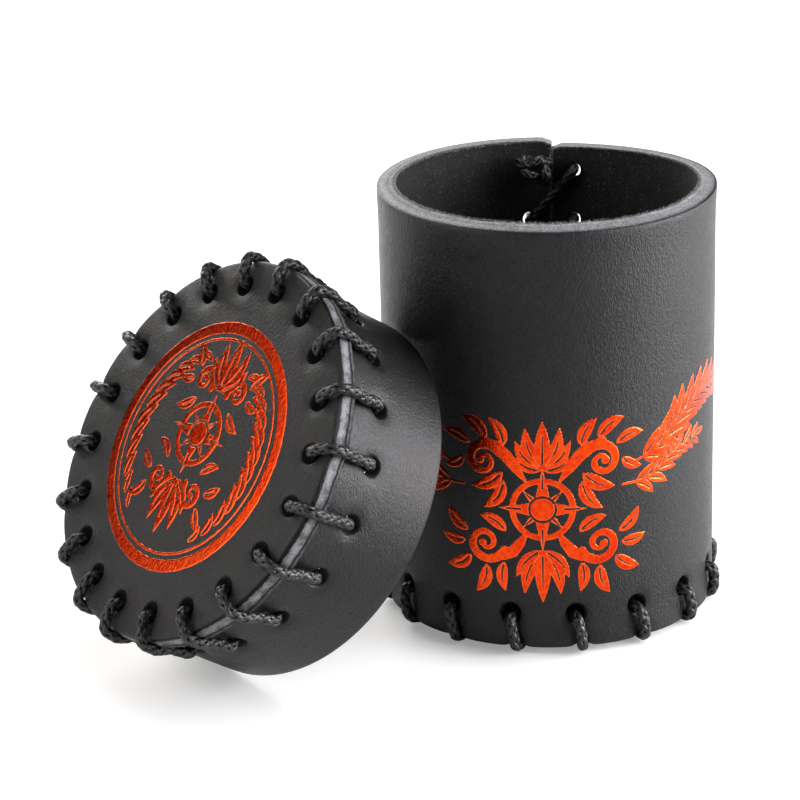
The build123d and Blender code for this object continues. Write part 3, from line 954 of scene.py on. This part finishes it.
def cup_ornament():
    """Sun star and palmettes between scrolls, with long laurel fronds round both sides."""
    art = Ornament((-88, 10), (88, 71))
    art.frond([(22.5, 47.5), (31, 50.5), (41, 57), (53, 60), (67, 57), (80, 50)], 11.5, 1.95, 4.4)
    art.frond([(20.5, 42.5), (28, 43), (37, 47.5), (47, 49)], 7.6, 1.5, 3.8)
    art.spiral((15.0, 49.6), 5.0, 150, 1.4, 1.35, -1)
    art.spiral((14.6, 27.8), 5.3, 200, 1.4, 1.35, 1)
    art.stroke([(4.4, 45.2), (6.6, 48.2), (8.9, 51.2), (11.4, 53.6), (15.0, 54.6)], [0.5, 1.3, 1.7, 1.6, 1.3])
    art.stroke([(4.0, 31.0), (5.6, 28.4), (7.6, 25.8), (9.8, 24.6)], [0.5, 1.3, 1.6, 1.3])
    art.leaves((9.6, 54.4, 13.6, 61.0, 1.75, 0.12), (14.2, 55.8, 21.0, 60.4, 1.8, 0.14),
               (18.9, 53.8, 26.4, 55.6, 1.6, 0.12), (20.4, 49.6, 26.0, 46.6, 1.4, -0.1),
               (10.2, 46.8, 18.4, 42.6, 1.9, -0.12), (9.8, 44.6, 15.2, 37.0, 1.8, -0.14),
               (19.6, 30.4, 25.0, 36.0, 1.7, -0.12), (20.4, 27.4, 27.0, 28.4, 1.6, -0.1),
               (18.8, 23.6, 25.4, 20.0, 1.8, -0.12), (14.4, 21.6, 17.2, 14.0, 1.8, -0.12),
               (9.8, 22.8, 9.4, 15.0, 1.6, 0.1), (9.4, 31.4, 16.2, 35.0, 1.7, 0.12))
    art.palmette(47.4, (0, 13.4, 2.0), (20, 12.4, 1.85), (40, 10.8, 1.7), (62, 8.4, 1.4))
    art.sun_star(np.array((0.0, 37.5)), 11.6)
    art.palmette(27.0, (180, 14.6, 2.0), (160, 13.2, 1.85), (140, 10.4, 1.6))
    return art


def lid_ornament():
    """The same sun star and palmettes inside a wreath of leaves and a double ring."""
    art = Ornament((-35, -36), (35, 35))
    art.ring((0, 0), 30.7, 1.6)
    art.ring((0, 0), 27.7, 0.42)
    for number in range(12):
        angle = -56 + 10.4 * number
        size = 0.6 + 0.4 * sin(pi * (number + 0.5) / 12)
        base = towards(angle) * 25.0 - (0, 0.4)
        art.leaf(base, base + towards(angle + 128) * 8.4 * size, 1.75 * size, -0.12)
    art.spiral((7.2, 15.6), 3.9, 200, 1.35, 1.1, -1)
    art.spiral((7.6, -10.6), 4.1, 160, 1.35, 1.15, 1)
    art.leaves((10.9, 18.2, 15.4, 23.4, 1.5, 0.1), (11.6, 15.0, 16.8, 14.0, 1.35, -0.1),
               (12.0, -9.4, 17.0, -6.0, 1.45, -0.1), (11.4, -13.2, 15.8, -18.0, 1.5, -0.1),
               (7.2, 10.6, 13.6, 7.2, 1.5, -0.12), (7.4, -5.4, 13.4, -2.0, 1.4, 0.12))
    art.palmette(14.0, (0, 14.6, 2.1), (20, 13.4, 1.9), (42, 10.6, 1.7))
    art.sun_star(np.array((0.0, 3.0)), 11.4)
    art.palmette(-8.6, (180, 15.0, 2.1), (160, 13.6, 1.9), (138, 10.6, 1.7))
    return art


def cup_foil(material):
    """The cup's foil, centred on the front, opposite the seam."""
    def surface(u, v, depth):
        """A place across and up the cup's front."""
        return wall_surface(CUP_ROUND / 2 + u, v, depth)
    stamped_foil("cup_foil_ornament", cup_ornament(), surface, material, HERE)


def lid_foil(material):
    """The lid's foil, round the middle of its face."""
    def surface(u, v, depth):
        """A place across and up the lid's face."""
        return top_surface(np.arctan2(v, u) * LID_HOLE_RING, np.hypot(u, v), depth)
    stamped_foil("lid_foil_ornament", lid_ornament(), surface, material, LID)


# --- materials ---
class Nodes:
    """A node tree being filled: most methods add a node and give the socket with its result."""

    def __init__(self, owner):
        self.owner = owner
        owner.use_nodes = True
        self.tree = owner.node_tree
        self.tree.nodes.clear()

    def node(self, kind, feeds=None, **settings):
        """A node with its settings made and its inputs linked or set."""
        node = self.tree.nodes.new("ShaderNode" + kind)
        for key, value in settings.items():
            setattr(node, key, value)
        for key, value in (feeds or {}).items():
            if isinstance(value, bpy.types.NodeSocket):
                self.tree.links.new(value, node.inputs[key])
            else:
                node.inputs[key].default_value = value
        return node

    def place(self):
        """Coordinates that stay with the piece, in metres."""
        return self.node("TexCoord").outputs["Object"]

    def attribute(self, name):
        """A value that the piece's points carry."""
        return self.node("Attribute", attribute_name=name).outputs["Fac"]

    def camera_ray(self):
        """1 where the eye looks straight at it, 0 for light that bounces."""
        return self.node("LightPath").outputs["Is Camera Ray"]

    def noise(self, where, size, detail, roughness=0.55):
        """Noise whose features are about the given size in millimetres."""
        feeds = {"Vector": where, "Scale": 1 / (size * METRES), "Detail": detail, "Roughness": roughness}
        return self.node("TexNoise", feeds).outputs["Fac"]

    def cells(self, where, size, feature="SMOOTH_F1"):
        """Distance in a field of cells about the given size in millimetres."""
        feeds = {"Vector": where, "Scale": 1 / (size * METRES)}
        return self.node("TexVoronoi", feeds, feature=feature).outputs["Distance"]

    def math(self, operation, first, second=0.0, third=0.0):
        """One step of arithmetic on sockets or numbers."""
        return self.node("Math", {0: first, 1: second, 2: third}, operation=operation).outputs[0]

    def weighted(self, *parts, start=0.0):
        """A sum of sockets, each given with its weight."""
        total = start
        for value, weight in parts:
            total = self.math("MULTIPLY_ADD", value, weight, total)
        return total

    def ramp(self, value, low, high, out_low, out_high):
        """A value carried from one range to another, held at the ends."""
        feeds = {"Value": value, "From Min": low, "From Max": high, "To Min": out_low, "To Max": out_high}
        return self.node("MapRange", feeds).outputs["Result"]

    def mix(self, share, first, second, blend="MIX"):
        """A mix of two colours."""
        feeds = {0: share, 6: first, 7: second}
        return self.node("Mix", feeds, data_type="RGBA", blend_type=blend).outputs[2]

    def bump(self, height, distance, strength, under=None):
        """A bump of the given height in millimetres, over another one if there is one."""
        feeds = {"Height": height, "Distance": distance * METRES, "Strength": strength}
        if under:
            feeds["Normal"] = under
        return self.node("Bump", feeds).outputs["Normal"]

    def principled(self, **sockets):
        """Ends a material with a Principled shader, its sockets linked or set, and gives the material."""
        feeds = {socket.replace("_", " "): value for socket, value in sockets.items()}
        shader = self.node("BsdfPrincipled", feeds)
        self.node("OutputMaterial", {"Surface": shader.outputs[0]})
        return self.owner


def new_material(name):
    """An empty material to fill, and coordinates that stay with the piece."""
    nodes = Nodes(bpy.data.materials.new(name))
    return nodes, nodes.place()


def grain_leather():
    """The smooth dyed face: fine pebbled grain, a satin finish, rubbed pale at the edges."""
    nodes, where = new_material("black_grain_leather")
    drawn = nodes.node("Mapping", {"Vector": where, "Scale": (1.0, 1.0, 0.62)}).outputs[0]
    cloud = nodes.noise(where, 22, 4, 0.6)
    mottle = nodes.noise(where, 3.2, 4, 0.65)
    tone = nodes.ramp(nodes.weighted((cloud, 0.6), (mottle, 0.5)), 0.35, 0.8, 0, 1)
    colour = nodes.mix(tone, (0.0065, 0.0063, 0.0064, 1), (0.0148, 0.0143, 0.0139, 1))
    speck = nodes.ramp(nodes.noise(drawn, 0.36, 3, 0.7), 0.36, 0.64, 0.35, 1.75)
    colour = nodes.mix(1.0, colour, speck, "MULTIPLY")
    rubbed = nodes.math("MULTIPLY", nodes.attribute("worn"), nodes.ramp(mottle, 0.45, 0.7, 0.0, 0.14))
    colour = nodes.mix(rubbed, colour, (0.075, 0.072, 0.070, 1))
    rough = nodes.weighted((cloud, 0.08), start=nodes.ramp(mottle, 0.3, 0.7, 0.23, 0.34))
    pores, pebble = nodes.cells(drawn, 0.46, "F1"), nodes.cells(drawn, 0.72)
    skin = nodes.weighted((pores, 0.5), (pebble, 0.6), (nodes.noise(drawn, 0.27, 3, 0.65), 1.25))
    normal = nodes.bump(mottle, 0.16, 0.4, nodes.bump(skin, 0.13, 0.9))
    return nodes.principled(Base_Color=colour, Roughness=rough, Normal=normal, Specular_IOR_Level=0.3)


# Bands across a cut edge: the depth of each, 0 at the face and 1 at the flesh side, and its tone.
SKIN = (0.05, (0.005, 0.005, 0.005, 1))
INNER = (1.0, (0.035, 0.035, 0.036, 1))
RAW_BANDS = ((0.19, 0.20), (0.40, 0.28), (0.62, 0.25), (0.84, 0.36))
# In the split bands, the near-black stop at 0.23 is painted shade, a dark line along the face, and the
# near-black stops from 0.71 to 0.79 are painted shade in the crack round CRACK_DEPTH.
SPLIT_BANDS = ((0.23, 0.004), (0.28, 0.14), (0.46, 0.24), (0.67, 0.18), (0.71, 0.012), (0.79, 0.012),
               (0.84, 0.08))
FIBRE_WANDER = 0.07
CRACK_DEPTH = 0.745


def cut_leather(name, bands, wandering, stain, fleck, cracking):
    """A cut edge: dyed skin at the face, then bands of packed fibres down to the flesh side; dark bands among
    them are painted shade.
    """
    nodes, where = new_material(name)
    fibre = nodes.noise(where, 0.4, 4, 0.7)
    shifts = (nodes.noise(where, 4.5, 4, 0.7), wandering), (fibre, FIBRE_WANDER)
    wander = nodes.weighted((nodes.attribute("depth"), 1.0), *shifts, start=-(wandering + FIBRE_WANDER) / 2)
    layers = nodes.node("ValToRGB", {0: wander})
    stops = layers.color_ramp.elements
    for stop, (position, tone) in zip(stops, (SKIN, INNER)):
        stop.position = position
        stop.color = tone
    for position, shade in bands:
        stops.new(position).color = (shade * 0.97, shade * 0.98, shade * 1.03, 1)
    stained = nodes.ramp(nodes.noise(where, 2.6, 4, 0.75), 0.40, 0.56, 1.0 - stain, 1.0)
    speck = nodes.math("MULTIPLY", nodes.ramp(fibre, 0.38, 0.64, 1 - fleck, 1 + fleck), stained)
    to_crack = nodes.math("ABSOLUTE", nodes.math("SUBTRACT", wander, CRACK_DEPTH))
    cracked = nodes.bump(nodes.ramp(to_crack, 0.0, 0.05, 0.0, 1.0), 0.35, cracking)
    return nodes.principled(Base_Color=nodes.mix(1.0, layers.outputs["Color"], speck, "MULTIPLY"),
                            Roughness=nodes.ramp(wander, 0.2, 0.7, 0.42, 0.85),
                            Specular_IOR_Level=nodes.ramp(wander, 0.22, 0.30, 0.12, 0.5),
                            Normal=nodes.bump(fibre, 0.18, 0.8, cracked))


def flesh_leather(name, fray):
    """The flesh side: very dark, matt and napped, with pale torn fibres along a raw edge."""
    nodes, where = new_material(name)
    nap = nodes.noise(where, 0.45, 5, 0.7)
    fuzz = nodes.noise(where, 0.7, 5, 0.8)
    tone = nodes.ramp(nodes.weighted((nap, 0.5), (nodes.noise(where, 6.0, 4, 0.6), 0.6)), 0.35, 0.75, 0, 1)
    colour = nodes.mix(tone, (0.0035, 0.0034, 0.0034, 1), (0.016, 0.0156, 0.0155, 1))
    colour = nodes.mix(nodes.ramp(fuzz, 0.46, 0.74, 0.0, 0.8), colour, (0.040, 0.038, 0.038, 1))
    fringe = nodes.weighted((nodes.ramp(nodes.attribute("border"), 0.1, 0.9, 1.0, 0.0), 0.2), start=fuzz)
    colour = nodes.mix(nodes.ramp(fringe, 0.62, 0.70, 0.0, fray), colour, (0.24, 0.25, 0.25, 1))
    return nodes.principled(Base_Color=colour, Roughness=nodes.ramp(nap, 0.3, 0.7, 0.72, 0.92),
                            Normal=nodes.bump(nap, 0.30, 0.9), Specular_IOR_Level=0.25,
                            Sheen_Weight=0.14, Sheen_Roughness=0.5, Sheen_Tint=(0.3, 0.3, 0.31, 1))


def torn_fibre():
    """Pale grey leather fibre."""
    nodes, where = new_material("torn_leather_fibre")
    shade = nodes.ramp(nodes.noise(where, 0.8, 3, 0.7), 0.35, 0.65, 0, 1)
    colour = nodes.mix(shade, (0.10, 0.10, 0.102, 1), (0.34, 0.35, 0.35, 1))
    return nodes.principled(Base_Color=colour, Roughness=0.8, Specular_IOR_Level=0.3)


def waxed_cord():
    """Black waxed cord: fibres along each strand, soft wax shine, pale dust in places."""
    nodes, where = new_material("waxed_black_cord")
    lengthwise = nodes.math("MULTIPLY", nodes.attribute("along"), 0.7)
    crosswise = nodes.math("MULTIPLY", nodes.attribute("across"), 9.0)
    strand = nodes.node("CombineXYZ", {"X": lengthwise, "Y": crosswise}).outputs[0]
    fibre = nodes.node("TexNoise", {"Vector": strand, "Scale": 1.6, "Detail": 3.0}).outputs["Fac"]
    dust = nodes.ramp(nodes.noise(where, 1.3, 4, 0.65), 0.45, 0.75, 0, 1)
    colour = nodes.mix(dust, (0.0030, 0.0030, 0.0033, 1), (0.014, 0.014, 0.0147, 1))
    return nodes.principled(Base_Color=colour, Roughness=nodes.ramp(fibre, 0.3, 0.7, 0.22, 0.48),
                            Normal=nodes.bump(fibre, 0.10, 0.8), Specular_IOR_Level=0.6)


def foil():
    """Hot-stamped metallic foil crinkled by the grain, with painted light and shade on the crinkles and a
    painted highlight on its outline.
    """
    nodes, where = new_material("red_metal_foil")
    fine = nodes.noise(where, 0.42, 3, 0.65)
    crinkle = nodes.noise(where, 1.3, 4, 0.7)
    # Painted light and shade: the colour runs from deep red where the crinkles sink to orange where they
    # rise, with a broad random cloud mixed in.
    shade = nodes.weighted((nodes.noise(where, 9, 3, 0.5), 0.3), (crinkle, 0.7))
    colour = nodes.mix(nodes.ramp(shade, 0.38, 0.62, 0, 1), (0.74, 0.026, 0.006, 1), (0.97, 0.088, 0.009, 1))
    # Painted highlight: the colour turns bright orange along the outline, where the pressed edges would catch
    # the light.
    outline = nodes.ramp(nodes.attribute("edge"), 0.3, 0.9, 0.0, 0.7)
    colour = nodes.mix(outline, colour, (1.0, 0.19, 0.05, 1))
    gone = nodes.ramp(nodes.noise(where, 0.75, 4, 0.7), 0.69, 0.72, 0, 1)
    grain = nodes.weighted((nodes.cells(where, 0.8), 0.5), (fine, 0.8))
    return nodes.principled(Base_Color=nodes.mix(gone, colour, (0.020, 0.008, 0.006, 1)),
                            Metallic=nodes.math("SUBTRACT", 1.0, gone),
                            Roughness=nodes.ramp(fine, 0.3, 0.7, 0.10, 0.21),
                            Normal=nodes.bump(grain, 0.11, 0.8, nodes.bump(crinkle, 0.16, 0.6)),
                            Specular_IOR_Level=0.5)


# --- studio: its lights and its camera are placed in metres ---
FLOOR_HALF = 4000.0
UNDER_PART = 0.15
LIGHT_TARGET = Vector((0.0, 0.0, 0.04))
LIGHT_REACH = 0.85
LIGHT_SIZE = 0.6
COOL = (0.97, 0.965, 1.0)
WARM = (1.0, 0.975, 0.945)
CAMERA_PLACE = (0.02641, -0.75641, 0.33207)
CAMERA_HEADING = 4.89
CAMERA_PITCH = 20.36
CAMERA_ROLL = -1.33
CAMERA_LENS = 140.6


def floor_material():
    """A plain pale floor that glows to the eye: far from the part a white backdrop, near it a painted light
    that pales the shadows cast on it.
    """
    nodes, where = new_material("studio_floor")
    colour = nodes.mix(nodes.noise(where, 300, 2), (0.90, 0.90, 0.90, 1), (0.94, 0.94, 0.94, 1))
    away = nodes.node("VectorMath", {0: where}, operation="LENGTH").outputs["Value"]
    # Painted light: seen straight on, the floor glows at 0.3 near the part, which pales the shadows cast on
    # it, and fully far away.
    glow = nodes.math("MULTIPLY", nodes.camera_ray(), nodes.ramp(away, 0.4, 0.95, 0.30, 1.0))
    return nodes.principled(Base_Color=colour, Emission_Color=colour, Emission_Strength=glow,
                            Roughness=0.6, Specular_IOR_Level=0.2)


def studio_floor():
    """A wide pale floor under the part."""
    corners = [(FLOOR_HALF * x, FLOOR_HALF * y, FLOOR - UNDER_PART)
               for x, y in ((-1, -1), (1, -1), (1, 1), (-1, 1))]
    floor = make_object("studio_floor", corners, [(0, 1, 2, 3)], [floor_material()], HERE)


def soft_light(name, bearing, climb, power, tint):
    """A soft square light facing the part; bearing is from the front, positive to the right."""
    turn, rise = radians(bearing), radians(climb)
    away = Vector((sin(turn) * cos(rise), -cos(turn) * cos(rise), sin(rise)))
    lamp = bpy.data.lights.new(name, "AREA")
    lamp.shape = "SQUARE"
    lamp.size = LIGHT_SIZE
    lamp.energy = power
    lamp.color = tint
    light = bpy.data.objects.new(name, lamp)
    light.location = LIGHT_TARGET + away * LIGHT_REACH
    light.rotation_euler = away.to_track_quat("Z", "Y").to_euler()
    bpy.context.scene.collection.objects.link(light)


def studio_lights():
    """Large soft lights: the strongest on the right, others on the left, behind and overhead."""
    soft_light("right_front_light", 72, 5, 4.1, COOL)
    soft_light("right_light", 92, 5, 18.3, COOL)
    soft_light("right_high_light", 90, 45, 3.7, COOL)
    soft_light("back_left_light", -150, 25, 6.7, WARM)
    soft_light("left_light", -75, 25, 1.75, WARM)
    soft_light("left_front_light", -58, 20, 2.8, WARM)
    soft_light("overhead_light", 0, 86, 1.2, COOL)


def studio_world():
    """White all round to the eye, and nearly dark to the part, which the soft lights light."""
    world = bpy.data.worlds.new("studio_world")
    bpy.context.scene.world = world
    nodes = Nodes(world)
    strength = nodes.ramp(nodes.camera_ray(), 0, 1, 0.02, 1.0)
    back = nodes.node("Background", {"Color": (1, 1, 1, 1), "Strength": strength})
    nodes.node("OutputWorld", {"Surface": back.outputs[0]})


def studio_camera():
    """The photograph's viewpoint: a long lens looking down at the front of the cup."""
    heading, pitch, roll = radians(CAMERA_HEADING), radians(CAMERA_PITCH), radians(CAMERA_ROLL)
    forward = Vector((-sin(heading) * cos(pitch), cos(heading) * cos(pitch), -sin(pitch)))
    level = Vector((cos(heading), sin(heading), 0))
    right = level * cos(roll) + level.cross(forward) * sin(roll)
    turn = Matrix((right, right.cross(forward), -forward)).transposed().to_4x4()
    lens = bpy.data.cameras.new("camera")
    lens.lens = CAMERA_LENS
    lens.sensor_width = 36.0
    lens.clip_end = 50.0
    camera = bpy.data.objects.new("camera", lens)
    camera.matrix_world = Matrix.Translation(CAMERA_PLACE) @ turn
    bpy.context.scene.collection.objects.link(camera)
    bpy.context.scene.camera = camera


def main():
    """Build every piece and the studio round them."""
    grain, cord, red_foil = grain_leather(), waxed_cord(), foil()
    leather = [grain, cut_leather("raw_cut_edge", RAW_BANDS, 0.12, 0.25, 0.60, 0.0),
               flesh_leather("flesh_side_leather", 0.8)]
    burnished = [grain, cut_leather("burnished_cut_edge", SPLIT_BANDS, 0.28, 0.70, 0.22, 0.9),
                 flesh_leather("trimmed_flesh_side", 0.0)]
    cup_wall(leather)
    rim_fibres(torn_fibre())
    cup_base(leather)
    lid_top(burnished)
    lid_skirt(leather)
    foot_lace(cord)
    seam_lace("cup", (CUP_RADIUS, BORE_RADIUS, SEAM_ANGLE, SEAM_HALF_WIDTH, SEAM_ROWS), cord, HERE)
    lid_edge_lace(cord)
    lid_seam = SKIRT_RADIUS, SKIRT_BORE, LID_SEAM_ANGLE, LID_SEAM_HALF_WIDTH, LID_SEAM_ROWS
    seam_lace("lid", lid_seam, cord, LID)
    cup_foil(red_foil)
    lid_foil(red_foil)
    studio_floor()
    studio_world()
    studio_lights()
    studio_camera()
    bpy.context.scene.view_settings.view_transform = "Standard"


main()
